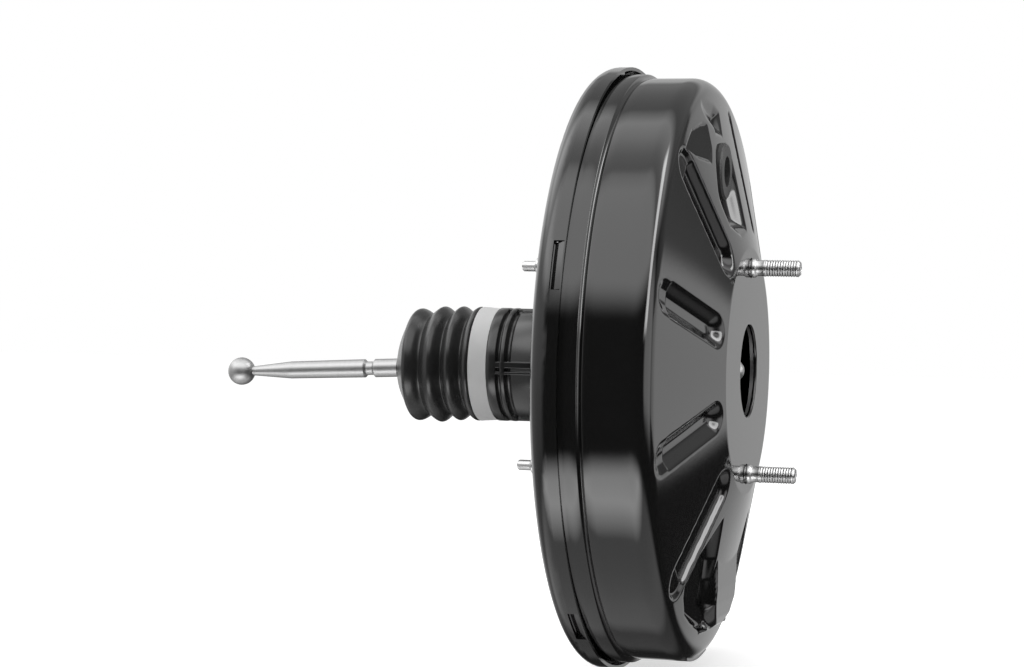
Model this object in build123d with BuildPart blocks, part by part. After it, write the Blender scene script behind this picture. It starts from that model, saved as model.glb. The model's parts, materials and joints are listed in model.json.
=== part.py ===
from build123d import *
import os
from math import cos, degrees, radians, sin, tan

# Vacuum brake booster, millimetres. X is the axis of the booster and points to the master
# cylinder, Z is up, and the origin is the centre of the face that bolts to the bulkhead.
# An angle round the axis is 0 on the -Y side and grows towards +Z.

# Pressed casing
sheet = 1.6
casing_depth = 82.0
drum_radius = 140.0
band_step = 2.0
front_flat_radius = 59.0
front_slope = 13.55
front_corner = 10.5
front_flat_corner = 4.0
rear_flat_radius = 95.0
rear_slope = 14.0
rear_corner = 9.0
rear_flat_corner = 36.0
rim_setback = 1.6
band_front_x = 33.0
groove_run = 1.0
groove_depth = 0.8
assembly_gap = 0.3
lock_tabs = 5
tab_width = 22.0
tab_length = 4.0
tab_gap = 0.2
window_gap = 0.8
skirt_edge = 0.6
top_tab_angle = 90.0

# Stiffening beads of the front shell
bead_angles = (18.0, 49.0, 131.0, 162.0, 198.0, 229.0, 311.0, 342.0)
bead_inner_radius = 62.0
bead_outer_radius = 133.0
bead_width = 18.0
bead_depth = 5.0
bead_shoulder_length = 14.0
bead_shoulder_depth = 2.2
press_draft = 18.0

# Vacuum port recess, the pockets next to it and the raised tongue between two hollows below the bore
port_depth = 12.4
port_y = -18.0
port_z = 94.5
port_hole_radius = 10.0
grommet_radius = 13.6
grommet_bore_radius = 7.3
grommet_flange = 3.0
grommet_chamfer = 1.0
port_outline = ((-18, 66), (-33, 69), (-47, 82), (-48.5, 95), (-40, 108.5), (-3, 108.5), (-5, 69))
port_corner = 4.0
upper_pocket_depth = 21.5
upper_pocket_outline = (
    (-44, 129),
    (-47, 122),
    (-40, 117),
    (-29, 113.5),
    (-28, 110.5),
    (-9, 110.5),
    (-2, 125),
    (-20, 127),
)
upper_pocket_corner = 1.5
side_pocket_angle = 65.0
side_pocket_radius = 117.0
side_pocket_outline = ((7.5, 20), (6.4, 7), (2.7, -6), (-7, 5.5), (-2.7, 19.5), (2, 23.5))
side_pocket_corner = 2.0
side_pocket_depth = 3.0
side_groove_y = 20.5
side_groove_radius = 97.0
side_groove_length = 63.0
side_groove_width = 7.0
side_groove_depth = 3.5
strip_depth = 8.5
strip_half_width = 26.0
strip_z = (-75.0, -106.0, -124.0)
strip_fall = 7.0
strip_height = 12.0
hollow_depth = 17.0
hollow_outline = (
    (-34.5, -75),
    (-54, -84),
    (-59, -91.5),
    (-68, -98.7),
    (-67, -104),
    (-59, -113.5),
    (-47, -118),
    (-37, -121),
    (-20, -124.5),
    (1, -126),
    (1, -123),
    (-9, -121),
    (-17, -117.5),
    (-24.5, -109),
    (-27.8, -98),
    (-27, -88),
)
hollow_corner = 0.8
hollow_draft = 12.0

# Studs and reinforcing plates
bore_radius = 22.2
plate_thickness = 2.0
front_plate_radius = 56.0
rear_plate_radius = 80.0
stud_radius = 4.0
stud_shank_radius = 4.95
hole_clearance = 0.05
head_radius = 8.0
head_thickness = 3.0
front_stud_spacing = 99.0
front_stud_reach = 24.0
front_collar_radius = 5.3
front_collar_length = 2.5
rear_stud_spacing_y = 70.0
rear_stud_spacing_z = 95.0
rear_stud_reach = 22.0
dog_point_radius = 3.0
dog_point_length = 4.0
stud_chamfer = 0.8

# Guide sleeve, seal, clamping ring and dust boot on the pedal side
running_gap = 0.05
housing_tube_radius = 21.0
sleeve_radius = 26.8
sleeve_end_x = -41.8
spigot_end_x = -50.0
spigot_radius = 24.3
sleeve_flange_radius = 33.0
sleeve_flange_thickness = 2.8
sleeve_collar_radius = 27.9
sleeve_collar_length = 2.2
sleeve_groove_width = 1.0
sleeve_rib_height = 0.9
sleeve_rib_width = 1.6
sleeve_rib_root = 0.5
sleeve_rib_start = 3.0
sleeve_rib_angles = (-3.0, 5.0, 87.0, 95.0, 177.0, 185.0, 267.0, 275.0)
seal_seat_radius = 24.8
seal_seat_x = -14.0
seal_length = 9.5
seal_lip = 1.4
ring_rear_x = -50.7
ring_radius = 28.2
ring_taper = 0.7
boot_wall = 1.3
boot_peak_radius = 28.2
boot_valley_radius = 24.9
boot_pitch = 10.8
boot_folds = 3
boot_first_peak_x = -61.3
boot_valley_shift = 0.9
boot_inside_shift = 0.8
boot_dome = ((-87.4, 22.0), (-91.0, 15.0), (-92.6, 10.0), (-93.3, 0.0))
boot_hole_gap = 0.3

# Power piston
piston_rest_x = 11.0
piston_sheet = 1.2
piston_flat_radius = 88.0
piston_margin = 19.0
piston_dish = 9.0
piston_rim = 4.0
rubber = 1.7
diaphragm_fold_x = 29.0
fold_land = 0.2
bead_facet_angles = (30.0, 50.0, 70.0)
hub_radius = 30.8
hub_rear_x = 5.2
hub_front_x = 24.0
nose_shoulder_depth = 4.0
hub_flange_width = 4.2
hub_flange_thickness = 3.0
housing_end_x = -70.0
housing_bore_radius = 17.5
valve_floor_x = -34.5
boss_radius = 11.0
boss_length = 6.0
disc_thickness = 5.0
cup_wall = 3.0
cup_flange_radius = 18.0
cup_flange_thickness = 1.5
output_rod_radius = 6.0
output_rod_end_x = 68.0
output_tip_radius = 4.5
output_tip_x = 80.0
tip_shank_radius = 3.0
tip_socket_depth = 9.0
return_wire = 4.4
return_spring_radius = 38.2
return_spring_turns = 4.5
spring_end_gap = 0.05
wire_sides = 6

# Valve and input rod
plunger_radius = 7.0
plunger_flange_radius = 9.5
plunger_flange_thickness = 2.0
plunger_set_in = 0.1
flange_pocket_gap = 0.7
flange_pocket_reserve = 1.0
shoulder_reserve = 0.5
valve_gap = 0.2
vacuum_gap = 1.0
nose_radius = 5.5
valve_travel = 2.0
key_x = 6.5
key_thickness = 2.0
key_play = 0.1
key_arm = 8.0
key_neck_radius = 4.6
key_setback = 2.8
pivot_x = -30.0
socket_radius = 5.0
socket_lip = 1.0
rod_droop = 2.73
rod_swing = 4.0
rod_length = 149.1
rod_radius = 4.6
rod_neck_radius = 3.4
rod_taper_radius = 4.35
rod_tip_radius = 2.4
waist_start = 77.0
waist_end = 82.6
taper_start = 122.0
ball_radius = 7.0
valve_wire = 1.2
valve_disc_radius = 15.8
valve_disc_thickness = 2.0
valve_hole_radius = 6.6
valve_sleeve_radius = 15.3
valve_sleeve_length = 7.9
valve_bead_length = 3.4
valve_wall = 1.3
valve_seat_radius = 13.2
valve_seat_width = 1.4
valve_spring_turns = 3.0
rod_spring_turns = 3.0
small_spring_gap = 0.05
cup_seat = 31.5
rod_cup_radius = 11.0
air_ways_count = 4
air_way_radius = 2.2
air_way_pitch_radius = 15.5
filter_hole_radius = 8.5
silencer_length = 2.5

os.makedirs("parts", exist_ok=True)

# Sizes that follow from the ones above
slope_tan = tan(radians(front_slope))
rear_tan = tan(radians(rear_slope))
band_radius = drum_radius + band_step
lip_radius = band_radius + sheet
skirt_inner_radius = lip_radius + assembly_gap
skirt_radius = skirt_inner_radius + sheet
rear_edge_x = (skirt_radius - rear_flat_radius) * rear_tan
edge_centre_radius = skirt_radius - rear_corner
edge_centre_x = (edge_centre_radius - rear_flat_radius) * rear_tan + rear_corner / cos(radians(rear_slope))
rim_x = edge_centre_x - rim_setback
tab_free_x = rim_x + sheet + tab_gap
tab_root_x = tab_free_x + tab_length
skirt_front_x = tab_root_x + skirt_edge
drum_start_x = band_front_x + groove_run
port_x = casing_depth - port_depth
upper_pocket_x = casing_depth - upper_pocket_depth
strip_x = casing_depth - strip_depth
hollow_x = casing_depth - hollow_depth
front_inside_x = casing_depth - sheet
front_plate_x = front_inside_x - plate_thickness
rear_plate_x = sheet + plate_thickness
shank_hole_radius = stud_shank_radius + hole_clearance
tube_bore_radius = housing_tube_radius + running_gap
tube_hole_radius = sleeve_radius + hole_clearance
plunger_bore_radius = plunger_radius + running_gap
disc_x = hub_front_x + boss_length + hole_clearance
cup_bottom_x = disc_x + disc_thickness + hole_clearance
cup_inner_radius = boss_radius + hole_clearance
piston_radius = drum_radius - piston_margin
hub_flange_radius = hub_radius + hub_flange_width
key_reach = hub_radius - key_setback
cup_radius = cup_inner_radius + cup_wall


# Station of the front shell's conical wall at a radius
def cone_x(radius):
    return casing_depth - (radius - front_flat_radius) * slope_tan


# Unit vector from the axis towards an angle round it
def outward(angle):
    return Vector(0, -cos(radians(angle)), sin(radians(angle)))


# Plane through the axis, with its x along the axis and its y outward at the angle
def axial_plane(angle):
    return Plane(origin=(0, 0, 0), x_dir=(1, 0, 0), z_dir=Vector(1, 0, 0).cross(outward(angle)))


# Plane on the conical wall, with its x down the slope and away from the axis
def cone_plane(angle, radius):
    out = outward(angle)
    along = Vector(1, 0, 0)
    normal = along * cos(radians(front_slope)) + out * sin(radians(front_slope))
    down = out * cos(radians(front_slope)) - along * sin(radians(front_slope))
    return Plane(origin=along * cone_x(radius) + out * radius, x_dir=down, z_dir=normal)


# Closed outline of (x, radius) points turned round the axis
def turned(*points):
    with BuildPart() as body:
        with BuildSketch(Plane.XZ):
            with BuildLine():
                Polyline(*points, close=True)
            make_face()
        revolve(axis=Axis.X)
    return body


# Ring of rectangular section round the axis
def ring(start_x, end_x, inner_radius, outer_radius):
    return turned(
        (start_x, inner_radius), (end_x, inner_radius), (end_x, outer_radius), (start_x, outer_radius)
    )


# Pressed sheet: a rounded path of (x, radius) points, thickened to one side and turned
def pressed(points, radii, thickness, side):
    with BuildPart() as body:
        with BuildSketch(Plane.XZ):
            with BuildLine():
                FilletPolyline(*points, radius=radii)
                offset(amount=thickness, side=side)
            make_face()
        revolve(axis=Axis.X)
    return body


# The drum down to its axis, at a depth below the front shell's outer surface
def drum_space(depth):
    corner_x = cone_x(drum_radius) - depth * tan(radians(45 - front_slope / 2))
    flat_radius = front_flat_radius - depth * tan(radians(front_slope / 2))
    start = (drum_start_x, drum_radius - depth)
    end = (casing_depth - depth, bore_radius / 2)
    corners = ((corner_x, drum_radius - depth), (casing_depth - depth, flat_radius))
    with BuildSketch(Plane.XZ) as profile:
        with BuildLine():
            FilletPolyline(start, *corners, end, radius=[front_corner - depth, front_flat_corner - depth])
            Polyline(end, (casing_depth - depth, 0), (drum_start_x, 0), start)
        make_face()
    revolve(profile.sketch, axis=Axis.X)


# Stiffening beads: a deep channel with a shallower shoulder at its outer end
def press_beads(growth):
    channel_end_radius = bead_outer_radius - bead_shoulder_length
    for end_radius, depth in ((bead_outer_radius, bead_shoulder_depth), (channel_end_radius, bead_depth)):
        length = (end_radius - bead_inner_radius) / cos(radians(front_slope))
        for angle in bead_angles:
            with BuildSketch(cone_plane(angle, (end_radius + bead_inner_radius) / 2)) as bead:
                SlotOverall(length + 2 * growth, bead_width + 2 * growth)
            extrude(bead.sketch, amount=-(depth + growth), taper=press_draft, mode=Mode.SUBTRACT)


# Flat recess round the vacuum port, a deep pocket above it, a shallow one and an upright groove beside it
def press_port(growth):
    with BuildSketch(Plane.YZ.offset(port_x - growth)) as recess:
        with BuildLine():
            Polyline(*port_outline, close=True)
        make_face()
        fillet(vertices(), port_corner)
        offset(amount=growth)
    extrude(recess.sketch, amount=casing_depth - port_x, mode=Mode.SUBTRACT)
    with BuildSketch(Plane.YZ.offset(upper_pocket_x - growth)) as upper_pocket:
        with BuildLine():
            Polyline(*upper_pocket_outline, close=True)
        make_face()
        fillet(vertices(), upper_pocket_corner)
        offset(amount=growth)
    extrude(upper_pocket.sketch, amount=casing_depth - upper_pocket_x, mode=Mode.SUBTRACT)
    with BuildSketch(cone_plane(side_pocket_angle, side_pocket_radius)) as side_pocket:
        with BuildLine():
            Polyline(*side_pocket_outline, close=True)
        make_face()
        fillet(vertices(), side_pocket_corner)
        offset(amount=growth)
    extrude(side_pocket.sketch, amount=-(side_pocket_depth + growth), mode=Mode.SUBTRACT)
    with BuildSketch(cone_plane(90, side_groove_radius)) as side_groove:
        with Locations((0, -side_groove_y)):
            SlotOverall(side_groove_length + 2 * growth, side_groove_width + 2 * growth)
    extrude(side_groove.sketch, amount=-(side_groove_depth + growth), mode=Mode.SUBTRACT)


# Raised strip below the bore, as a prism that runs out into the rounded corner
def raise_strip(depth):
    top, bend, foot = strip_z
    with BuildSketch(Plane.XZ) as strip:
        with BuildLine():
            Polyline(
                (strip_x - depth, top),
                (strip_x - depth, bend),
                (strip_x - strip_fall - depth, foot),
                (strip_x - strip_height, foot),
                (strip_x - strip_height, top),
                close=True,
            )
        make_face()
    extrude(strip.sketch, amount=strip_half_width - depth, both=True)


# Hollow on each side of the strip
def press_hollows(growth):
    for side in (1, -1):
        with BuildSketch(Plane.YZ.offset(hollow_x - growth)) as hollow:
            with BuildLine():
                Polyline(*[(side * y, z) for y, z in hollow_outline], close=True)
            make_face()
            fillet(vertices(), hollow_corner)
            offset(amount=growth)
        extrude(hollow.sketch, amount=casing_depth - hollow_x, taper=-hollow_draft, mode=Mode.SUBTRACT)


# Front shell
with BuildPart() as drum_outside:
    drum_space(0)
    raise_strip(0)
    press_hollows(0)
    press_beads(0)
    press_port(0)

with BuildPart() as drum_inside:
    drum_space(sheet)
    raise_strip(sheet)
    press_hollows(sheet)
    press_beads(sheet)
    press_port(sheet)

with BuildPart() as front_shell:
    add(drum_outside.part)
    add(drum_inside.part, mode=Mode.SUBTRACT)
    with BuildSketch(Plane.XZ):
        with BuildLine():
            Polyline(
                (drum_start_x, drum_radius),
                (band_front_x, drum_radius - groove_depth),
                (band_front_x - groove_depth, band_radius),
                (rim_x + sheet, band_radius),
                (rim_x + sheet, lip_radius),
                (rim_x, lip_radius),
                (rim_x, band_radius - sheet),
                (band_front_x - groove_depth - sheet, band_radius - sheet),
                (band_front_x - sheet / 2, drum_radius - groove_depth - sheet),
                (drum_start_x, drum_radius - sheet),
                close=True,
            )
        make_face()
    revolve(axis=Axis.X)
    with BuildSketch(Plane.YZ.offset(front_plate_x)):
        Circle(bore_radius)
        with GridLocations(0, front_stud_spacing, 1, 2):
            Circle(shank_hole_radius)
    extrude(amount=casing_depth - front_plate_x, mode=Mode.SUBTRACT)
    with BuildSketch(Plane.YZ.offset(port_x - 2 * sheet)):
        with Locations((port_y, port_z)):
            Circle(port_hole_radius)
    extrude(amount=casing_depth - port_x, mode=Mode.SUBTRACT)
front_shell.part.label = "front_shell"
export_step(front_shell.part, "parts/front_shell.step")

# Rear shell: skirt over the front shell's rim, rounded edge, shallow dish and flat mounting face
rear_shell = pressed(
    (
        (skirt_front_x, skirt_radius),
        (rear_edge_x, skirt_radius),
        (0, rear_flat_radius),
        (0, tube_hole_radius),
    ),
    [rear_corner, rear_flat_corner],
    sheet,
    Side.LEFT,
)
tab_spread = degrees(tab_width / skirt_radius)
gap_spread = degrees(window_gap / 2 / skirt_radius)
with rear_shell:
    with BuildSketch(Plane.YZ) as stud_holes:
        with GridLocations(rear_stud_spacing_y, rear_stud_spacing_z, 2, 2):
            Circle(shank_hole_radius)
    extrude(stud_holes.sketch, amount=sheet, mode=Mode.SUBTRACT)
    for tab in range(lock_tabs):
        tab_angle = top_tab_angle + tab * 360 / lock_tabs
        with BuildSketch(axial_plane(tab_angle + tab_spread / 2 + gap_spread)) as window:
            with Locations(((tab_root_x + tab_free_x - window_gap) / 2, skirt_inner_radius + sheet / 2)):
                Rectangle(tab_length + window_gap, 2 * sheet)
        revolve(window.sketch, axis=Axis.X, revolution_arc=tab_spread + 2 * gap_spread, mode=Mode.SUBTRACT)
        with BuildSketch(axial_plane(tab_angle + tab_spread / 2)) as tongue:
            with BuildLine():
                Polyline(
                    (tab_root_x + tab_gap, skirt_inner_radius),
                    (tab_root_x + tab_gap, skirt_radius),
                    (tab_free_x, band_radius + assembly_gap / 2 + sheet),
                    (tab_free_x, band_radius + assembly_gap / 2),
                    close=True,
                )
            make_face()
        revolve(tongue.sketch, axis=Axis.X, revolution_arc=tab_spread)
rear_shell.part.label = "rear_shell"
export_step(rear_shell.part, "parts/rear_shell.step")

# Reinforcing plates behind the two rows of studs
with BuildPart() as front_plate:
    with BuildSketch(Plane.YZ.offset(front_plate_x)):
        Circle(front_plate_radius)
        Circle(bore_radius + sheet, mode=Mode.SUBTRACT)
        with GridLocations(0, front_stud_spacing, 1, 2):
            Circle(shank_hole_radius, mode=Mode.SUBTRACT)
    extrude(amount=plate_thickness)
front_plate.part.label = "front_plate"
export_step(front_plate.part, "parts/front_plate.step")

with BuildPart() as rear_plate:
    with BuildSketch(Plane.YZ.offset(sheet)):
        Circle(rear_plate_radius)
        Circle(sleeve_flange_radius + sheet, mode=Mode.SUBTRACT)
        with GridLocations(rear_stud_spacing_y, rear_stud_spacing_z, 2, 2):
            Circle(shank_hole_radius, mode=Mode.SUBTRACT)
    extrude(amount=plate_thickness)
rear_plate.part.label = "rear_plate"
export_step(rear_plate.part, "parts/rear_plate.step")

# Two studs that carry the master cylinder
front_stud_end_x = casing_depth + front_stud_reach
front_stud = turned(
    (front_plate_x - head_thickness, 0),
    (front_plate_x - head_thickness, head_radius),
    (front_plate_x, head_radius),
    (front_plate_x, stud_shank_radius),
    (casing_depth, stud_shank_radius),
    (casing_depth, front_collar_radius),
    (casing_depth + front_collar_length, front_collar_radius),
    (casing_depth + front_collar_length, stud_radius),
    (front_stud_end_x - stud_chamfer, stud_radius),
    (front_stud_end_x, stud_radius - stud_chamfer),
    (front_stud_end_x, 0),
)
with BuildPart() as master_cylinder_studs:
    with Locations((0, 0, -front_stud_spacing / 2), (0, 0, front_stud_spacing / 2)):
        add(front_stud.part)
master_cylinder_studs.part.label = "master_cylinder_studs"
export_step(master_cylinder_studs.part, "parts/master_cylinder_studs.step")

# Four studs with dog points that bolt the booster to the bulkhead
rear_stud = turned(
    (rear_plate_x + head_thickness, 0),
    (rear_plate_x + head_thickness, head_radius),
    (rear_plate_x, head_radius),
    (rear_plate_x, stud_shank_radius),
    (0, stud_shank_radius),
    (0, stud_radius),
    (dog_point_length - rear_stud_reach + stud_chamfer, stud_radius),
    (dog_point_length - rear_stud_reach, dog_point_radius),
    (stud_chamfer - rear_stud_reach, dog_point_radius),
    (-rear_stud_reach, dog_point_radius - stud_chamfer),
    (-rear_stud_reach, 0),
)
stud_y = rear_stud_spacing_y / 2
stud_z = rear_stud_spacing_z / 2
with BuildPart() as bulkhead_studs:
    with Locations((0, -stud_y, -stud_z), (0, -stud_y, stud_z), (0, stud_y, -stud_z), (0, stud_y, stud_z)):
        add(rear_stud.part)
bulkhead_studs.part.label = "bulkhead_studs"
export_step(bulkhead_studs.part, "parts/bulkhead_studs.step")

# Rubber grommet of the vacuum port: a flange on each side of the wall and a neck in the hole
port_axis = Axis((0, port_y, port_z), (1, 0, 0))
with BuildPart() as vacuum_port_grommet:
    with BuildSketch(Plane(origin=(0, port_y, port_z), x_dir=(1, 0, 0), z_dir=(0, -1, 0))):
        with BuildLine():
            Polyline(
                (port_x - sheet - grommet_flange, grommet_bore_radius),
                (port_x + grommet_flange, grommet_bore_radius),
                (port_x + grommet_flange, grommet_radius - grommet_chamfer),
                (port_x + grommet_flange - grommet_chamfer, grommet_radius),
                (port_x, grommet_radius),
                (port_x, port_hole_radius - hole_clearance),
                (port_x - sheet, port_hole_radius - hole_clearance),
                (port_x - sheet, grommet_radius - grommet_chamfer),
                (port_x - sheet - grommet_chamfer, grommet_radius - grommet_chamfer),
                close=True,
            )
        make_face()
    revolve(axis=port_axis)
vacuum_port_grommet.part.label = "vacuum_port_grommet"
export_step(vacuum_port_grommet.part, "parts/vacuum_port_grommet.step")

# Plastic guide sleeve: held by its flange inside the rear shell, with a collar and ribs outside
sleeve_flange_x = sheet + sleeve_flange_thickness
collar_x = sleeve_end_x + sleeve_collar_length
bead_x = collar_x + sleeve_groove_width
guide_sleeve = turned(
    (spigot_end_x, tube_bore_radius),
    (spigot_end_x, spigot_radius),
    (sleeve_end_x, spigot_radius),
    (sleeve_end_x, sleeve_collar_radius),
    (collar_x, sleeve_collar_radius),
    (collar_x, sleeve_radius - sleeve_rib_height),
    (bead_x, sleeve_radius - sleeve_rib_height),
    (bead_x, sleeve_radius + sleeve_rib_height),
    (bead_x + sleeve_collar_length, sleeve_radius + sleeve_rib_height),
    (bead_x + sleeve_collar_length, sleeve_radius),
    (sheet, sleeve_radius),
    (sheet, sleeve_flange_radius),
    (sleeve_flange_x, sleeve_flange_radius),
    (sleeve_flange_x, seal_seat_radius),
    (seal_seat_x, seal_seat_radius),
    (seal_seat_x, tube_bore_radius),
)
with guide_sleeve:
    for angle in sleeve_rib_angles:
        with BuildSketch(axial_plane(angle)) as rib:
            with Locations(((bead_x - sleeve_rib_start) / 2, sleeve_radius - sleeve_rib_root)):
                Rectangle(-bead_x - sleeve_rib_start, 2 * (sleeve_rib_height + sleeve_rib_root))
        extrude(rib.sketch, amount=sleeve_rib_width / 2, both=True)
guide_sleeve.part.label = "guide_sleeve"
export_step(guide_sleeve.part, "parts/guide_sleeve.step")

# Lip seal between the guide sleeve and the sliding housing, and the ring that keeps it in
seal_start_x = seal_seat_x + hole_clearance
seal_end_x = seal_seat_x + seal_length
seal_outer_radius = seal_seat_radius - hole_clearance
guide_seal = turned(
    (seal_start_x, tube_bore_radius),
    (seal_start_x, seal_outer_radius),
    (seal_end_x, seal_outer_radius),
    (seal_end_x, seal_outer_radius - seal_lip),
    (seal_start_x + 2 * seal_lip, seal_outer_radius - seal_lip),
    (seal_start_x + 2 * seal_lip, tube_bore_radius + seal_lip),
    (seal_end_x, tube_bore_radius + seal_lip),
    (seal_end_x, tube_bore_radius),
)
guide_seal.part.label = "guide_seal"
export_step(guide_seal.part, "parts/guide_seal.step")

seal_retainer = ring(seal_end_x + hole_clearance, sheet, tube_bore_radius + assembly_gap, seal_outer_radius)
seal_retainer.part.label = "seal_retainer"
export_step(seal_retainer.part, "parts/seal_retainer.step")

# Light ring that clamps the boot's cuff on the spigot of the sleeve
cuff_inner_radius = spigot_radius + hole_clearance
cuff_radius = cuff_inner_radius + boot_wall
cuff_x = sleeve_end_x - sleeve_collar_length
boot_ring = turned(
    (ring_rear_x, cuff_radius + hole_clearance),
    (cuff_x, cuff_radius + hole_clearance),
    (cuff_x, cuff_inner_radius),
    (sleeve_end_x - hole_clearance, cuff_inner_radius),
    (sleeve_end_x - hole_clearance, ring_radius - ring_taper),
    (ring_rear_x, ring_radius),
)
boot_ring.part.label = "boot_ring"
export_step(boot_ring.part, "parts/boot_ring.step")

# Line of the input rod: it leaves its ball socket towards the pedal and droops a little
rod_line = Vector(-cos(radians(rod_droop)), 0, -sin(radians(rod_droop)))
rod_cup_tilt = rod_cup_radius * sin(radians(rod_droop))
spring_cup_x = pivot_x - (cup_seat - sheet) * cos(radians(rod_droop)) + rod_cup_tilt
rod_plane = Plane(origin=(pivot_x, 0, 0), x_dir=rod_line, z_dir=(0, -1, 0))
rod_axis = Axis((pivot_x, 0, 0), rod_line)

# Rubber boot: cuff, folds and a domed end that closes on the rod
boot_outline = [(ring_rear_x - hole_clearance, cuff_radius), (ring_rear_x - hole_clearance, boot_peak_radius)]
boot_outline += [(ring_rear_x - 2 * boot_wall, boot_peak_radius)]
for fold in range(boot_folds):
    peak_x = boot_first_peak_x - fold * boot_pitch
    valley_x = peak_x + boot_pitch / 2 - boot_valley_shift
    boot_outline += [(valley_x, boot_valley_radius), (peak_x, boot_peak_radius)]
boot_outline += boot_dome
boot_inside = []
for i in range(3, len(boot_outline) - 1):
    boot_inside += [(boot_outline[i][0] + boot_inside_shift, boot_outline[i][1] - boot_wall)]
dust_boot = turned(
    (cuff_x + hole_clearance - 2 * boot_wall, cuff_inner_radius),
    (cuff_x + hole_clearance - 2 * boot_wall, cuff_radius),
    *boot_outline,
    (boot_dome[-1][0] + boot_wall, 0),
    *reversed(boot_inside),
    (ring_rear_x - 2 * boot_wall, cuff_inner_radius),
)
with dust_boot:
    with BuildSketch(rod_plane) as rod_hole:
        with Locations((rod_length / 2, 0)):
            Rectangle(rod_length, 2 * (rod_radius + boot_hole_gap))
    revolve(
        split(rod_hole.sketch, Plane(origin=(pivot_x, 0, 0), z_dir=rod_plane.y_dir), mode=Mode.PRIVATE),
        axis=rod_axis,
        mode=Mode.SUBTRACT,
    )
dust_boot.part.label = "dust_boot"
export_step(dust_boot.part, "parts/dust_boot.step")

# Steel plate of the power piston
piston_edge_x = piston_rest_x + piston_dish
piston_rim_x = piston_edge_x + piston_rim
diaphragm_plate = pressed(
    (
        (piston_rest_x, hub_radius + hole_clearance),
        (piston_rest_x, piston_flat_radius),
        (piston_edge_x, piston_radius),
        (piston_rim_x, piston_radius),
    ),
    [piston_rim, piston_rim / 2],
    piston_sheet,
    Side.RIGHT,
)
diaphragm_plate.part.label = "diaphragm_plate"
export_step(diaphragm_plate.part, "parts/diaphragm_plate.step")

# Rubber diaphragm: lip on the hub, web behind the plate, rolling fold and bead under the rim
web_x = piston_rest_x - assembly_gap
fold_inner_radius = piston_radius + assembly_gap
fold_outer_radius = drum_radius - sheet - 2 * rubber
fold_bend = (fold_outer_radius - fold_inner_radius - fold_land) / 2
bead_section_radius = rear_corner - sheet - assembly_gap
bead_end_x = rim_x - hole_clearance
diaphragm = pressed(
    (
        (web_x, hub_radius + hole_clearance),
        (web_x, piston_flat_radius),
        (piston_edge_x - assembly_gap, fold_inner_radius),
        (diaphragm_fold_x, fold_inner_radius),
        (diaphragm_fold_x, fold_outer_radius),
        (bead_end_x - 2 * rubber, fold_outer_radius),
    ),
    [piston_rim, piston_rim / 2, fold_bend, fold_bend],
    rubber,
    Side.LEFT,
)
with diaphragm:
    with BuildSketch(Plane.XZ) as bead_section:
        with BuildLine():
            Polyline(
                (bead_end_x, fold_outer_radius - rubber),
                (bead_end_x, lip_radius - assembly_gap),
                *[
                    (
                        edge_centre_x - bead_section_radius * sin(radians(turn)),
                        edge_centre_radius + bead_section_radius * cos(radians(turn)),
                    )
                    for turn in bead_facet_angles
                ],
                (bead_end_x - 3 * rubber, fold_outer_radius - rubber),
                close=True,
            )
        make_face()
    revolve(bead_section.sketch, axis=Axis.X)
diaphragm.part.label = "diaphragm"
export_step(diaphragm.part, "parts/diaphragm.step")

diaphragm_retainer = ring(
    hub_rear_x + hole_clearance,
    web_x - rubber - hole_clearance,
    hub_radius + hole_clearance,
    hub_flange_radius,
)
diaphragm_retainer.part.label = "diaphragm_retainer"
export_step(diaphragm_retainer.part, "parts/diaphragm_retainer.step")

# Control housing: hub, boss for the reaction disc, valve seats and the tube that slides in the sleeve
hub_flange_x = piston_rest_x + piston_sheet
nose_bore_radius = nose_radius + running_gap
nose_shoulder_x = hub_front_x - nose_shoulder_depth
boss_end_x = hub_front_x + boss_length
flange_pocket_radius = plunger_flange_radius + flange_pocket_gap
plunger_rear_x = valve_floor_x - plunger_flange_thickness + plunger_set_in
seat_x = plunger_rear_x - valve_gap + vacuum_gap
flange_pocket_x = plunger_rear_x + plunger_flange_thickness + valve_travel + flange_pocket_reserve
control_housing = turned(
    (housing_end_x, housing_bore_radius),
    (housing_end_x, housing_tube_radius),
    (hub_rear_x, housing_tube_radius),
    (hub_rear_x, hub_radius),
    (hub_flange_x, hub_radius),
    (hub_flange_x, hub_flange_radius),
    (hub_flange_x + hub_flange_thickness, hub_flange_radius),
    (hub_flange_x + hub_flange_thickness, hub_radius),
    (hub_front_x, hub_radius),
    (hub_front_x, boss_radius),
    (boss_end_x, boss_radius),
    (boss_end_x, nose_bore_radius),
    (nose_shoulder_x, nose_bore_radius),
    (nose_shoulder_x, plunger_bore_radius),
    (flange_pocket_x, plunger_bore_radius),
    (flange_pocket_x, flange_pocket_radius),
    (valve_floor_x, flange_pocket_radius),
    (valve_floor_x, valve_seat_radius - valve_seat_width),
    (seat_x, valve_seat_radius - valve_seat_width / 2),
    (seat_x, valve_seat_radius),
    (valve_floor_x, valve_seat_radius + valve_seat_width / 2),
    (valve_floor_x, housing_bore_radius),
)
with control_housing:
    with BuildSketch(Plane.YZ.offset(key_x - hole_clearance)) as key_slot:
        with Locations((0, (key_arm - hub_radius) / 2)):
            Rectangle(2 * (key_arm + assembly_gap), hub_radius + key_arm + 2 * assembly_gap)
    extrude(key_slot.sketch, amount=key_thickness + 2 * hole_clearance, mode=Mode.SUBTRACT)
    with BuildSketch(Plane.YZ.offset(valve_floor_x)) as air_ways:
        with PolarLocations(air_way_pitch_radius, air_ways_count, start_angle=360 / air_ways_count / 2):
            Circle(air_way_radius)
    extrude(air_ways.sketch, amount=hub_front_x - valve_floor_x, mode=Mode.SUBTRACT)
control_housing.part.label = "control_housing"
export_step(control_housing.part, "parts/control_housing.step")

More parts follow.
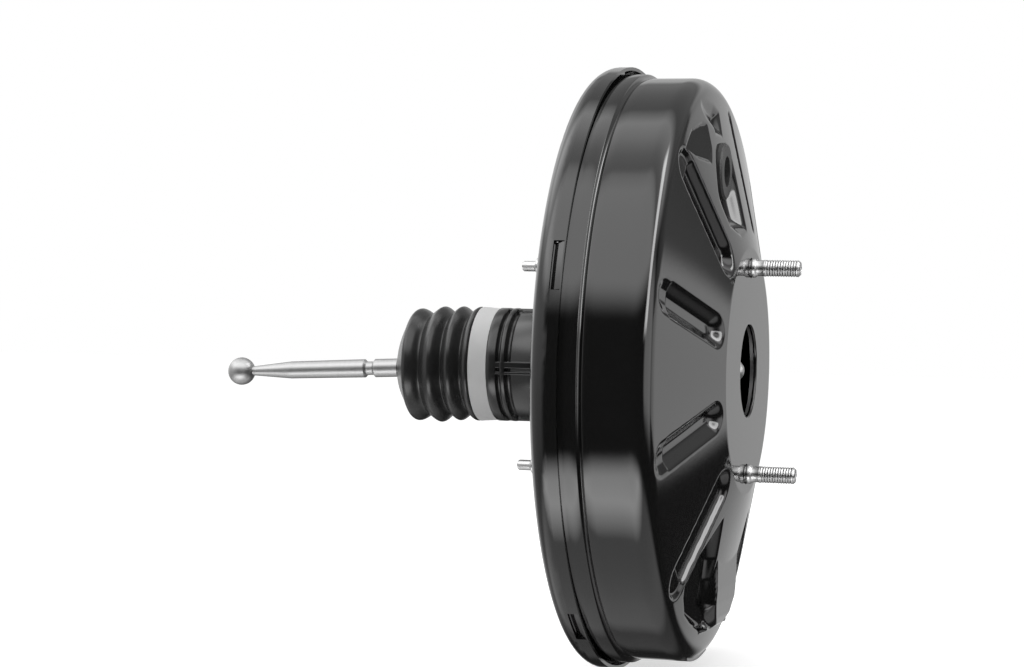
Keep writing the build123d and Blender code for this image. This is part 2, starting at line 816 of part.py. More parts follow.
# Key that limits the travel of the plunger in the housing
with BuildPart() as stop_key:
    with BuildSketch(Plane.YZ.offset(key_x)):
        with Locations((0, (key_arm - key_reach) / 2)):
            Rectangle(2 * key_arm, key_reach + key_arm)
        Circle(key_neck_radius + hole_clearance, mode=Mode.SUBTRACT)
        with Locations((0, key_arm / 2)):
            Rectangle(2 * (key_neck_radius + hole_clearance), key_arm, mode=Mode.SUBTRACT)
    extrude(amount=key_thickness)
stop_key.part.label = "stop_key"
export_step(stop_key.part, "parts/stop_key.step")

reaction_disc = ring(disc_x, disc_x + disc_thickness, 0, boss_radius)
reaction_disc.part.label = "reaction_disc"
export_step(reaction_disc.part, "parts/reaction_disc.step")

# Output rod: cup over the boss and the disc, with a separate domed tip
cup_x = hub_front_x + hole_clearance
tip_socket_x = output_rod_end_x - tip_socket_depth
output_rod = turned(
    (cup_x, cup_inner_radius),
    (cup_x, cup_flange_radius),
    (cup_x + cup_flange_thickness, cup_flange_radius),
    (cup_x + cup_flange_thickness, cup_radius),
    (cup_bottom_x + cup_wall - stud_chamfer, cup_radius),
    (cup_bottom_x + cup_wall, cup_radius - stud_chamfer),
    (cup_bottom_x + cup_wall, output_rod_radius),
    (output_rod_end_x, output_rod_radius),
    (output_rod_end_x, tip_shank_radius + hole_clearance),
    (tip_socket_x, tip_shank_radius + hole_clearance),
    (tip_socket_x, 0),
    (cup_bottom_x, 0),
    (cup_bottom_x, cup_inner_radius),
)
output_rod.part.label = "output_rod"
export_step(output_rod.part, "parts/output_rod.step")

output_tip = turned(
    (tip_socket_x + assembly_gap, 0),
    (tip_socket_x + assembly_gap, tip_shank_radius),
    (output_rod_end_x, tip_shank_radius),
    (output_rod_end_x, output_tip_radius),
    (output_tip_x - output_tip_radius / 2, output_tip_radius),
    (output_tip_x - output_tip_radius / 8, output_tip_radius / 2),
    (output_tip_x, 0),
)
output_tip.part.label = "output_tip"
export_step(output_tip.part, "parts/output_tip.step")

# Stepped washer that keeps the output rod on the hub
keeper_x = cup_x + cup_flange_thickness + hole_clearance
output_rod_keeper = turned(
    (hub_front_x, cup_flange_radius + assembly_gap),
    (hub_front_x, hub_radius - sheet / 2),
    (hub_front_x + piston_sheet, hub_radius - sheet / 2),
    (hub_front_x + piston_sheet, cup_flange_radius + assembly_gap + piston_sheet),
    (keeper_x + piston_sheet, cup_flange_radius + assembly_gap + piston_sheet),
    (keeper_x + piston_sheet, cup_radius + assembly_gap),
    (keeper_x, cup_radius + assembly_gap),
    (keeper_x, cup_flange_radius + assembly_gap),
)
output_rod_keeper.part.label = "output_rod_keeper"
export_step(output_rod_keeper.part, "parts/output_rod_keeper.step")


# Coil spring round the axis between two stations of its outer faces
def coil(start_x, end_x, radius, wire, turns):
    length = end_x - start_x - wire
    with BuildPart() as spring:
        with BuildLine():
            helix_start = (start_x + wire / 2, 0, 0)
            path = Helix(length / turns, length, radius, center=helix_start, direction=(1, 0, 0))
        with BuildSketch(Plane(origin=path @ 0, z_dir=path % 0)):
            RegularPolygon(wire / 2, wire_sides)
        sweep(is_frenet=True)
    return spring


return_spring = coil(
    hub_flange_x + spring_end_gap,
    front_plate_x - spring_end_gap,
    return_spring_radius,
    return_wire,
    return_spring_turns,
)
return_spring.part.label = "return_spring"
export_step(return_spring.part, "parts/return_spring.step")

# Valve plunger: flange that closes the air passage, neck for the key and nose for the disc
neck_start_x = key_x - valve_travel - key_play
neck_end_x = key_x + key_thickness + valve_travel + key_play
nose_x = disc_x - valve_travel - key_play
plunger_end_x = nose_shoulder_x - valve_travel - shoulder_reserve
valve_plunger = turned(
    (plunger_rear_x, 0),
    (plunger_rear_x, plunger_flange_radius),
    (plunger_rear_x + plunger_flange_thickness, plunger_flange_radius),
    (plunger_rear_x + plunger_flange_thickness, plunger_radius),
    (neck_start_x, plunger_radius),
    (neck_start_x, key_neck_radius),
    (neck_end_x, key_neck_radius),
    (neck_end_x, plunger_radius),
    (plunger_end_x, plunger_radius),
    (plunger_end_x, nose_radius),
    (nose_x, nose_radius),
    (nose_x, 0),
)
with valve_plunger:
    with BuildSketch(Plane.XZ) as socket_mouth:
        with Locations(((plunger_rear_x + pivot_x) / 2, (socket_radius - socket_lip) / 2)):
            Rectangle(pivot_x - plunger_rear_x, socket_radius - socket_lip)
    revolve(socket_mouth.sketch, axis=Axis.X, mode=Mode.SUBTRACT)
    with Locations((pivot_x, 0, 0)):
        Sphere(socket_radius + running_gap, mode=Mode.SUBTRACT)
valve_plunger.part.label = "valve_plunger"
export_step(valve_plunger.part, "parts/valve_plunger.step")

# Rubber valve: its disc faces both seats and its bead is held by a steel cup in the housing
disc_front_x = plunger_rear_x - valve_gap
disc_rear_x = disc_front_x - valve_disc_thickness
bead_front_x = disc_rear_x - valve_sleeve_length
bead_rear_x = bead_front_x - valve_bead_length
valve_bead_radius = housing_bore_radius - hole_clearance
control_valve = turned(
    (bead_rear_x, valve_sleeve_radius - valve_wall),
    (bead_rear_x, valve_bead_radius),
    (bead_front_x, valve_bead_radius),
    (bead_front_x, valve_sleeve_radius),
    (disc_rear_x, valve_sleeve_radius),
    (disc_rear_x, valve_disc_radius),
    (disc_front_x, valve_disc_radius),
    (disc_front_x, valve_hole_radius),
    (disc_rear_x, valve_hole_radius),
    (disc_rear_x, valve_sleeve_radius - valve_wall),
)
control_valve.part.label = "control_valve"
export_step(control_valve.part, "parts/control_valve.step")

cup_flange_x = bead_rear_x - 2 * piston_sheet
valve_cup = turned(
    (bead_rear_x - hole_clearance, valve_bead_radius),
    (cup_flange_x - piston_sheet, valve_bead_radius),
    (cup_flange_x - piston_sheet, valve_hole_radius + sheet),
    (cup_flange_x, valve_hole_radius + sheet),
    (cup_flange_x, valve_bead_radius - piston_sheet),
    (bead_rear_x - hole_clearance, valve_bead_radius - piston_sheet),
)
valve_cup.part.label = "valve_cup"
export_step(valve_cup.part, "parts/valve_cup.step")

valve_spring = coil(
    cup_flange_x + small_spring_gap,
    disc_rear_x - small_spring_gap,
    valve_sleeve_radius - valve_wall - valve_wire,
    valve_wire,
    valve_spring_turns,
)
valve_spring.part.label = "valve_spring"
export_step(valve_spring.part, "parts/valve_spring.step")

rod_spring = coil(
    spring_cup_x + assembly_gap,
    cup_flange_x - piston_sheet - small_spring_gap,
    valve_hole_radius + sheet + valve_wire,
    valve_wire,
    rod_spring_turns,
)
rod_spring.part.label = "rod_spring"
export_step(rod_spring.part, "parts/rod_spring.step")

# Air filter and silencer at the open end of the housing
silencer_x = housing_end_x + hole_clearance
filter_x = silencer_x + silencer_length + hole_clearance
filter_end_x = pivot_x - cup_seat - rod_cup_radius * sin(radians(rod_swing)) - assembly_gap
silencer = ring(silencer_x, silencer_x + silencer_length, filter_hole_radius, valve_bead_radius)
silencer.part.label = "silencer"
export_step(silencer.part, "parts/silencer.step")
air_filter = ring(filter_x, filter_end_x, filter_hole_radius, valve_bead_radius)
air_filter.part.label = "air_filter"
export_step(air_filter.part, "parts/air_filter.step")


# Closed outline of (distance from the pivot, radius) points turned round the rod's own line
def turned_on_rod(*points):
    with BuildPart() as body:
        with BuildSketch(rod_plane) as profile:
            with BuildLine():
                Polyline(*[(distance, -radius) for distance, radius in points], close=True)
            make_face()
        revolve(profile.sketch, axis=rod_axis)
    return body


# Input rod: ball in the plunger's socket, thin neck, waist, tapered end and the pedal's ball
waist_slope = rod_radius - rod_neck_radius
input_rod = turned_on_rod(
    (0, 0),
    (0, rod_neck_radius),
    (cup_seat, rod_neck_radius),
    (cup_seat, rod_radius),
    (waist_start, rod_radius),
    (waist_start + waist_slope, rod_neck_radius),
    (waist_end - waist_slope, rod_neck_radius),
    (waist_end, rod_radius),
    (taper_start, rod_taper_radius),
    (rod_length - ball_radius, rod_tip_radius),
    (rod_length, rod_tip_radius),
    (rod_length, 0),
)
with input_rod:
    with Locations((pivot_x, 0, 0)):
        Sphere(socket_radius)
    with Locations(Vector(pivot_x, 0, 0) + rod_line * rod_length):
        Sphere(ball_radius)
input_rod.part.label = "input_rod"
export_step(input_rod.part, "parts/input_rod.step")

rod_spring_cup = turned_on_rod(
    (cup_seat - sheet, rod_neck_radius + hole_clearance),
    (cup_seat, rod_neck_radius + hole_clearance),
    (cup_seat, rod_cup_radius),
    (cup_seat - sheet, rod_cup_radius),
)
rod_spring_cup.part.label = "rod_spring_cup"
export_step(rod_spring_cup.part, "parts/rod_spring_cup.step")
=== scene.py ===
import json
from math import cos, pi, radians, sin, tan

import bpy
import numpy as np
from mathutils import Matrix, Vector


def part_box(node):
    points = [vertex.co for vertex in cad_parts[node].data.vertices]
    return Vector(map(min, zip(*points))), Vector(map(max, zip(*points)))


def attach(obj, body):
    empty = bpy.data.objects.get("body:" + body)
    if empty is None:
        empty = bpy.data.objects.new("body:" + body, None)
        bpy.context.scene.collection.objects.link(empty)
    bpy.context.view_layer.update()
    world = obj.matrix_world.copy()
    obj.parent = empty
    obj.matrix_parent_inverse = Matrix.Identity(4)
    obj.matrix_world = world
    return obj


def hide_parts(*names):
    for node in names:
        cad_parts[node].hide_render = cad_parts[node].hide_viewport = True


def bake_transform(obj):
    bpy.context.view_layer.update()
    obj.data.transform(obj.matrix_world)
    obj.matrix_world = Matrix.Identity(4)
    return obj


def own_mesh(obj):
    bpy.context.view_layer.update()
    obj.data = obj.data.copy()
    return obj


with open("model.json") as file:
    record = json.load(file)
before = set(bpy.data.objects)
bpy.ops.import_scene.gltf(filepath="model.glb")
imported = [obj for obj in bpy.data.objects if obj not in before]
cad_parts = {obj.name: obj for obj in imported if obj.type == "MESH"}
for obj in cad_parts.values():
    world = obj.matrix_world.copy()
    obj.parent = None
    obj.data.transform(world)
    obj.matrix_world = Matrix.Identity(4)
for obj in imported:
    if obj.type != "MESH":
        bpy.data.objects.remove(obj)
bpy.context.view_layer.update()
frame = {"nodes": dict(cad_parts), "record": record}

mm = 0.001
recordSlots = {part["node"]: part["material_slot"] for part in frame["record"]["subparts"]}


# A number or a socket in a shader, with arithmetic that adds the Math nodes
class Field:
    def __init__(self, tree, socket):
        self.tree = tree
        self.socket = socket

    def math(self, operation, *others):
        node = self.tree.nodes.new("ShaderNodeMath")
        node.operation = operation
        for place, value in enumerate([self, *others]):
            plug(self.tree, node.inputs[place], value)
        return Field(self.tree, node.outputs[0])

    def __add__(self, other):
        return self.math("ADD", other)

    def __sub__(self, other):
        return self.math("SUBTRACT", other)

    def __neg__(self):
        return self * -1.0

    def __abs__(self):
        return self.math("ABSOLUTE")

    def __mul__(self, other):
        return self.math("MULTIPLY", other)

    def __truediv__(self, other):
        return self.math("DIVIDE", other)

    def __rsub__(self, other):
        return (self * -1.0) + other

    __radd__ = __add__
    __rmul__ = __mul__

    def between(self, low, high):
        ramp = self.tree.nodes.new("ShaderNodeMapRange")  # 0 at low, 1 at high, smooth
        ramp.interpolation_type = "SMOOTHSTEP"
        plug(self.tree, ramp.inputs["Value"], self)
        ramp.inputs["From Min"].default_value = low
        ramp.inputs["From Max"].default_value = high
        return Field(self.tree, ramp.outputs["Result"])

    # Level that follows (value, level) stops, the levels from 0 to 1
    def levels(self, stops):
        low, high = stops[0][0], stops[-1][0]
        ramp = addNode(self.tree, "ShaderNodeValToRGB", values={"Fac": (self - low) / (high - low)})
        line = ramp.color_ramp.elements
        while len(line) < len(stops):
            line.new(0.5)
        for mark, (place, level) in zip(line, stops):
            mark.position = (place - low) / (high - low)
        for mark, (place, level) in zip(line, stops):
            mark.color = (level, level, level, 1.0)
        return Field(self.tree, ramp.outputs["Color"])


def plug(tree, socket, value):
    if isinstance(value, Field):
        tree.links.new(value.socket, socket)
    elif isinstance(value, bpy.types.NodeSocket):
        tree.links.new(value, socket)
    else:
        socket.default_value = value


def addNode(tree, kind, settings=None, values=None):
    made = tree.nodes.new(kind)
    for key, value in (settings or {}).items():
        setattr(made, key, value)
    for key, value in (values or {}).items():
        plug(tree, made.inputs[key], value)
    return made


def splitVector(tree, vector):
    split = addNode(tree, "ShaderNodeSeparateXYZ", values={"Vector": vector})
    return [Field(tree, split.outputs[axis]) for axis in "XYZ"]


# Inputs of the Principled shader by their short names
socketNames = {"color": "Base Color", "rough": "Roughness", "metal": "Metallic", "ior": "IOR"}


# One procedural material: helpers for its nodes, and a Principled shader at its end
class Finish:
    def __init__(self, name):
        self.material = bpy.data.materials.new(name)
        self.material.use_nodes = True
        self.tree = self.material.node_tree
        self.shader = self.tree.nodes["Principled BSDF"]
        self.place = self.node("ShaderNodeTexCoord").outputs["Object"]

    def node(self, kind, settings=None, values=None):
        return addNode(self.tree, kind, settings, values)

    def noise(self, scale, detail, stretch=(1.0, 1.0, 1.0)):
        mapped = self.node("ShaderNodeMapping", values={"Vector": self.place, "Scale": stretch})
        values = {"Vector": mapped.outputs[0], "Scale": scale, "Detail": detail}
        return Field(self.tree, self.node("ShaderNodeTexNoise", values=values).outputs["Fac"])

    def tint(self, amount, dark, light):
        mix = self.node("ShaderNodeMix", {"data_type": "RGBA"})
        plug(self.tree, mix.inputs["Factor"], amount)
        mix.inputs["A"].default_value = (*dark, 1.0)
        mix.inputs["B"].default_value = (*light, 1.0)
        return mix.outputs["Result"]

    def bumps(self, height, strength, distance):
        values = {"Height": height, "Strength": strength, "Distance": distance}
        bump = self.node("ShaderNodeBump", values=values)
        plug(self.tree, self.shader.inputs["Normal"], bump.outputs["Normal"])

    def set(self, **values):
        for key, value in values.items():
            plug(self.tree, self.shader.inputs[socketNames[key]], value)
        return self.material


def grey(level):
    return (level, level, level)


def coatMaterial(name, look):
    finish = Finish(name)
    wear = finish.noise(look["wearScale"], look["wearDetail"])
    finish.bumps(finish.noise(look["peelScale"], look["peelDetail"]), look["peel"], look["peelHeight"])
    return finish.set(
        color=finish.tint(wear, look["dark"], look["light"]),
        rough=look["rough"] + wear * look["roughSpread"],
        ior=look["ior"],
    )


def rubberMaterial(name, look):
    finish = Finish(name)
    grain = finish.noise(look["grainScale"], look["grainDetail"])
    finish.bumps(grain, look["grain"], look["grainHeight"])
    return finish.set(color=finish.tint(grain, look["dark"], look["light"]), rough=look["rough"])


def metalMaterial(name, look):
    finish = Finish(name)
    lines = finish.noise(look["lineScale"], look["lineDetail"], look["stretch"])
    return finish.set(
        color=finish.tint(lines, look["dark"], look["light"]),
        rough=look["rough"] + lines * look["roughSpread"],
        metal=1.0,
    )


def plasticMaterial(name, look):
    finish = Finish(name)
    mottle = finish.noise(look["mottleScale"], look["mottleDetail"])
    return finish.set(color=finish.tint(mottle, look["dark"], look["light"]), rough=look["rough"])


# Finishes, one per material slot of the record
coatLook = {
    "dark": grey(0.005),
    "light": grey(0.007),
    "wearScale": 60.0,
    "wearDetail": 3.0,
    "ior": 1.6,
    "rough": 0.06,
    "roughSpread": 0.03,
    "peelScale": 400.0,
    "peelDetail": 1.0,
    "peelHeight": 0.0001,
    "peel": 0.03,
}
rubberLook = {
    "dark": grey(0.028),
    "light": grey(0.04),
    "grainScale": 700.0,
    "grainDetail": 4.0,
    "grainHeight": 0.0002,
    "grain": 0.12,
    "rough": 0.5,
}
bootLook = {
    **rubberLook,
    "dark": grey(0.014),
    "light": grey(0.022),
    "grainScale": 500.0,
    "grain": 0.06,
    "rough": 0.27,
}
zincLook = {
    "dark": grey(0.5),
    "light": grey(0.66),
    "lineScale": 300.0,
    "lineDetail": 3.0,
    "stretch": (1.0, 1.0, 1.0),
    "rough": 0.34,
    "roughSpread": 0.1,
}
steelLook = {
    **zincLook,
    "dark": grey(0.4),
    "light": grey(0.48),
    "lineScale": 120.0,
    "stretch": (6.0, 1.0, 1.0),  # turning lines round the rod
    "rough": 0.4,
    "roughSpread": 0.08,
}
sheetLook = {
    **zincLook,
    "dark": grey(0.3),
    "light": grey(0.42),
    "lineScale": 80.0,
    "rough": 0.35,
    "roughSpread": 0.15,
}
springLook = {**sheetLook, "dark": grey(0.2), "light": grey(0.3), "roughSpread": 0.1}
plasticLook = {"mottleDetail": 2.0}
sleeveLook = {**plasticLook, "dark": grey(0.014), "light": grey(0.018), "mottleScale": 90.0, "rough": 0.22}
ringLook = {**plasticLook, "dark": grey(0.46), "light": grey(0.54), "mottleScale": 60.0, "rough": 0.6}
feltLook = {**plasticLook, "dark": grey(0.05), "light": grey(0.1), "mottleScale": 900.0, "rough": 0.9}
housingLook = {
    **plasticLook,
    "dark": (0.42, 0.4, 0.35),
    "light": (0.5, 0.48, 0.43),
    "mottleScale": 70.0,
    "rough": 0.5,
}

materials = {
    "black_coat": coatMaterial("blackCoat", coatLook),
    "black_coat_rear": coatMaterial("blackCoatRear", coatLook),
    "plate_steel": metalMaterial("plateSteel", sheetLook),
    "zinc": metalMaterial("zinc", zincLook),
    "steel": metalMaterial("steel", steelLook),
    "spring_steel": metalMaterial("springSteel", springLook),
    "seal_rubber": rubberMaterial("sealRubber", rubberLook),
    "grommet_rubber": rubberMaterial("grommetRubber", rubberLook),
    "boot_rubber": rubberMaterial("bootRubber", bootLook),
    "sleeve_plastic": plasticMaterial("sleevePlastic", sleeveLook),
    "housing_plastic": plasticMaterial("housingPlastic", housingLook),
    "ring_plastic": plasticMaterial("ringPlastic", ringLook),
    "filter_felt": plasticMaterial("filterFelt", feltLook),
}
print("finishes:", len(materials))


def addObject(name, data):
    made = bpy.data.objects.new(name, data)
    bpy.context.scene.collection.objects.link(made)
    return made


# Smooth mesh object from points in millimetres
def meshPiece(name, points, faces, slot):
    mesh = bpy.data.meshes.new(name)
    mesh.from_pydata((np.asarray(points) * mm).tolist(), [], faces)
    mesh.update()
    mesh.materials.append(materials[slot])
    mesh.polygons.foreach_set("use_smooth", [True] * len(mesh.polygons))
    piece = addObject(name, mesh)
    return piece


# Faces of a closed strip of rings: ring after ring, each with the same number of points
def ringFaces(rings, count, closedLoop=False):
    faces = []
    last = rings if closedLoop else rings - 1
    for ring in range(last):
        here, there = ring * count, ((ring + 1) % rings) * count
        for place in range(count):
            beyond = (place + 1) % count
            faces.append((here + place, here + beyond, there + beyond, there + place))
    return faces


# Ring of points at station x, one per angle
def ringAt(x, radius, angles):
    return np.column_stack([np.full(len(angles), x), -radius * np.cos(angles), radius * np.sin(angles)])


# Closed profile of (x, radius) points turned round the axis; each ring's centre is lifted by its rise
def lathe(name, profile, count, slot, rises):
    angles = np.arange(count) * 2 * pi / count
    x = np.repeat(profile[:, 0], count)
    radius = np.repeat(profile[:, 1], count)
    turn = np.tile(angles, len(profile))
    rise = np.repeat(rises, count)
    points = np.column_stack([x, -radius * np.cos(turn), radius * np.sin(turn) + rise])
    return meshPiece(name, points, ringFaces(len(profile), count, True), slot)


def smoothStep(value):
    value = np.clip(value, 0.0, 1.0)
    return value * value * (3 - 2 * value)


# Signed distance to a polygon in the YZ plane, negative inside
def polygonDistance(y, z, outline):
    best = np.full(y.shape, np.inf)
    inside = np.zeros(y.shape, bool)
    for (ay, az), (by, bz) in zip(outline, outline[1:] + outline[:1]):
        ey, ez = by - ay, bz - az
        share = np.clip(((y - ay) * ey + (z - az) * ez) / (ey * ey + ez * ez), 0, 1)
        best = np.minimum(best, np.hypot(y - ay - share * ey, z - az - share * ez))
        if ez != 0:
            inside ^= ((az > z) != (bz > z)) & (y < ay + (z - az) * ey / ez)
    return np.where(inside, -best, best)


# Signed distance to a slot with round ends, negative inside
def slotDistance(along, across, start, end, width):
    beyond = np.maximum(np.abs(along - (start + end) / 2) - (end - start - width) / 2, 0)
    return np.hypot(beyond, across) - width / 2


# Front shell: pressed sheet with soft stamped edges, in the CAD part's own box
shellLow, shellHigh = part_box("front_shell")
shell = {
    "flatX": shellHigh.x / mm,
    "lipX": shellLow.x / mm,
    "lipRadius": shellHigh.y / mm,
    "flatRadius": 59.0,
    "slope": radians(13.55),
    "flatBend": 4.0,
    "cornerBend": 10.5,
    "drumRadius": 140.0,
    "drumStart": 34.0,
    "grooveX": 33.0,
    "grooveDepth": 0.8,
    "bore": 22.2,
    "flatRings": (22.7, 23.0, 24.0, 30.0, 38.0, 46.0, 54.0, 57.0),
    "sheet": 1.6,
    "edgeRound": 0.5,
    "ease": 0.1,  # soft edges of the groove are multiples of this
    "bandStart": 26.0,
    "coneStart": 60.2,
    "coneMargin": 0.4,
    "pressedFrom": (59.5, 55.0),  # radius and station that the pressings start at
    "ringStep": 0.7,
    "arcRings": 3,
    "cornerRings": 13,
    "sideRings": 5,
    "sideStart": 0.6,
    "turnStep": 1.25,
    "fineTurnStep": 0.42,
}
# Inner side of the sheet, with fewer rings, below the lowest pressing near each ring
inner = {"firstFromEnd": 22, "last": 8, "step": 9, "turns": 6, "cornerFromEnd": 40, "flatMargin": 4.0}
beads = {
    "each": [  # angle, width, wall, depth and the floor's tilt across
        (15.3, 18.0, 7.0, 5.0, 0.0),
        (48.0, 20.0, 4.5, 5.0, 0.0),
        (131.0, 20.0, 4.5, 5.0, 0.0),
        (162.0, 18.0, 7.0, 5.0, 0.0),
        (198.0, 18.0, 7.0, 5.0, 0.0),
        (229.0, 20.0, 3.6, 3.4, -0.055),
        (310.0, 20.0, 3.6, 3.4, 0.055),
        (342.0, 17.0, 7.0, 5.0, 0.0),
    ],
    "start": 62.0,
    "end": 133.0,
    "shoulderStart": 119.0,
    "shoulderDepth": 2.2,
    "shoulderSlope": 1.6,
    "reach": 10.0,
}
port = {
    "y": -18.0,
    "z": 94.5,
    "floor": 69.6,
    "outline": [(-18, 66), (-33, 69), (-46, 82), (-43.5, 97), (-36, 108.5), (-3, 108.5), (-5, 69)],
    "wall": 9.0,
    "bowlRadius": 15.5,
    "bowlSlope": 0.3,
    "holeRadius": 9.0,
    "upperFloor": 64.0,
    "upperOutline": [
        (-44, 129), (-47, 122), (-40, 117), (-29, 113.5), (-28, 110.5), (-14, 110.5), (-9, 124), (-20, 127),
    ],
    "upperWall": 8.0,
    "sideOutline": [(-80, 100.5), (-68, 109.5), (-49, 115), (-34, 116), (-38, 106), (-46, 96), (-64, 97)],
    "sideDepth": 5.0,
    "sideWall": 1.5,
    "sideSpan": (-40.0, -76.0),
    "grooveY": 20.5,
    "grooveStart": 66.4,
    "grooveEnd": 127.6,
    "grooveWidth": 9.0,
    "grooveDepth": 2.6,
    "grooveWall": 4.5,
    "angles": (55.0, 112.0),
}
tongue = {
    "halfWidth": 26.0,
    "ridge": [
        (-126.0, 60.0), (-124.6, 65.0), (-123.2, 69.0), (-121.5, 71.0), (-118.0, 72.4), (-110.7, 73.5),
        (-104.0, 74.0), (0.0, 74.0),
    ],
    "edge": 2.0,
    "hollow": [
        (-33, -68), (-45, -75.8), (-57, -84), (-63, -91.5), (-69, -98), (-67, -104), (-59, -113),
        (-47, -118), (-37, -121), (-20, -124.5), (1, -126), (1, -123), (-9, -121), (-17, -117.5),
        (-24.5, -109), (-27.8, -98), (-27, -88),
    ],
    "floor": 83.9,
    "floorSlopes": (0.2, 0.1),
    "draft": radians(22.0),
    "wall": 3.6,
    "angles": (233.0, 307.0),
}


def coneX(radius):
    return shell["flatX"] - (radius - shell["flatRadius"]) * tan(shell["slope"])


# Centre of the bend between the cone and the drum, as x and radius
def cornerCentre():
    tangent = shell["cornerBend"] * tan((pi / 2 - shell["slope"]) / 2)
    return coneX(shell["drumRadius"]) - tangent, shell["drumRadius"] - shell["cornerBend"]


# Outline of the front shell's outer surface from the bore to its rear lip, as (x, radius) points
def shellProfile():
    flatX, slope, bend = shell["flatX"], shell["slope"], shell["cornerBend"]
    drum, ease, bandX, lip = shell["drumRadius"], shell["ease"], shell["bandStart"], shell["lipX"]
    flat = [(flatX, radius) for radius in shell["flatRings"]]
    flatTangent = shell["flatBend"] * tan(slope / 2)
    flatArc = [
        (
            flatX - shell["flatBend"] * (1 - cos(turn)),
            shell["flatRadius"] - flatTangent + shell["flatBend"] * sin(turn),
        )
        for turn in np.linspace(0, slope, shell["arcRings"])
    ]
    centreX, centreRadius = cornerCentre()
    coneEnd = centreRadius + bend * sin(slope)
    fine = np.arange(shell["coneStart"], coneEnd - shell["coneMargin"], shell["ringStep"])
    cone = [(coneX(radius), radius) for radius in fine]
    corner = [
        (centreX + bend * cos(turn), centreRadius + bend * sin(turn))
        for turn in np.linspace(slope, pi / 2, shell["cornerRings"])
    ]
    stations = np.linspace(centreX, shell["drumStart"] + shell["sideStart"], shell["sideRings"] + 1)
    side = [(x, drum) for x in stations[1:]]
    grooveX, groove = shell["grooveX"], drum - shell["grooveDepth"]
    stepX = grooveX - shell["grooveDepth"]
    band = shell["lipRadius"] - shell["sheet"]
    tail = [
        (shell["drumStart"], drum - 1.5 * ease),
        (grooveX + 2 * ease, groove + ease),
        (grooveX - ease, groove + ease),
        (stepX + 2 * ease, band - 5 * ease),
        (stepX - 3 * ease, band),
        (bandX, band),
        (lip + shell["sheet"], band),
        (lip + shell["sheet"], shell["lipRadius"]),
        (lip, shell["lipRadius"]),
    ]
    return flat + flatArc + cone + corner + side + tail


# Angles round the axis, close together where the pressed details need it
def shellAngles():
    angles, angle = [], 0.0
    while angle < 360.0:
        angles.append(angle)
        nearBead = min(abs(angle - bead[0]) for bead in beads["each"]) < beads["reach"]
        inZone = any(low < angle < high for low, high in (port["angles"], tongue["angles"]))
        angle += shell["fineTurnStep"] if nearBead or inZone else shell["turnStep"]
    return np.radians(angles)


# Share of a pressing: 0 outside its outline, 1 at its floor, over a soft wall
def pressShare(away, outside, inside):
    return smoothStep((outside - away) / (outside + inside))


# Station of the outer surface after the beads, the tongue and the recesses are pressed
def pressedX(x, y, z):
    for degrees, width, wall, deep, tilt in beads["each"]:
        angle = radians(degrees)
        along = -y * cos(angle) + z * sin(angle)
        across = y * sin(angle) + z * cos(angle)
        away = slotDistance(along, across, beads["start"], beads["end"], width)
        shoulder = smoothStep((along - beads["shoulderStart"]) / beads["shoulderSlope"] + 0.5)
        depth = deep - (deep - beads["shoulderDepth"]) * shoulder
        x = x - (depth + tilt * across) * pressShare(away, 0.0, wall) * (along > 0)
    raisedX = np.interp(z, *zip(*tongue["ridge"]))
    raised = smoothStep((tongue["halfWidth"] - np.abs(y)) / tongue["edge"]) * (z < 0)
    x = x + np.maximum(raisedX - x, 0) * raised
    floor = tongue["floor"] - tongue["floorSlopes"][0] * np.abs(y) + tongue["floorSlopes"][1] * z
    drop = np.maximum(x - floor, 0)
    away = polygonDistance(-np.abs(y), z, tongue["hollow"])
    x = x - drop * pressShare(away, 0.0, tongue["wall"] + drop * tan(tongue["draft"]))
    away = polygonDistance(y, z, port["outline"])
    beyond = np.maximum(np.hypot(y - port["y"], z - port["z"]) - port["bowlRadius"], 0)
    floor = port["floor"] + port["bowlSlope"] * beyond
    x = x - np.maximum(x - floor, 0) * pressShare(away, port["wall"] / 3, port["wall"] * 2 / 3)
    away = polygonDistance(y, z, port["upperOutline"])
    x = x - np.maximum(x - port["upperFloor"], 0) * pressShare(away, 0.0, port["upperWall"])
    away = polygonDistance(y, z, port["sideOutline"])
    tilt = np.clip((y - port["sideSpan"][0]) / (port["sideSpan"][1] - port["sideSpan"][0]), 0, 1)
    x = x - port["sideDepth"] * tilt * pressShare(away, 0.0, port["sideWall"])
    away = slotDistance(z, y - port["grooveY"], port["grooveStart"], port["grooveEnd"], port["grooveWidth"])
    return x - port["grooveDepth"] * pressShare(away, 0.0, port["grooveWall"])


# Rings of the sheet's inner side, from the rear lip to the bore; x holds the outer side's pressed stations
def innerRings(outer, x, angles):
    sheet, count = shell["sheet"], len(outer)
    band = shell["lipRadius"] - 2 * sheet
    rings = [
        ringAt(shell["lipX"], band, angles),
        ringAt(shell["grooveX"] - sheet, band, angles),
        ringAt(shell["drumStart"], shell["drumRadius"] - 2 * sheet, angles),
        ringAt(cornerCentre()[0], shell["drumRadius"] - sheet, angles),
    ]
    turns = range(-inner["turns"], inner["turns"] + 1)
    for start in range(count - inner["firstFromEnd"], inner["last"], -inner["step"]):
        lowest = x[max(start - inner["step"], 0) : start + inner["step"] + 1].min(axis=0)
        lowest = np.minimum.reduce([np.roll(lowest, shift) for shift in turns])
        radius = outer[start][1] - (sheet if start > count - inner["cornerFromEnd"] else 0)
        rings.append(ringAt(lowest - sheet, radius, angles))
    rings.append(ringAt(shell["flatX"] - sheet, shell["flatRadius"] - inner["flatMargin"], angles))
    rings.append(ringAt(shell["flatX"] - sheet, shell["bore"], angles))
    rings.append(ringAt(shell["flatX"] - shell["edgeRound"], shell["bore"], angles))
    return rings


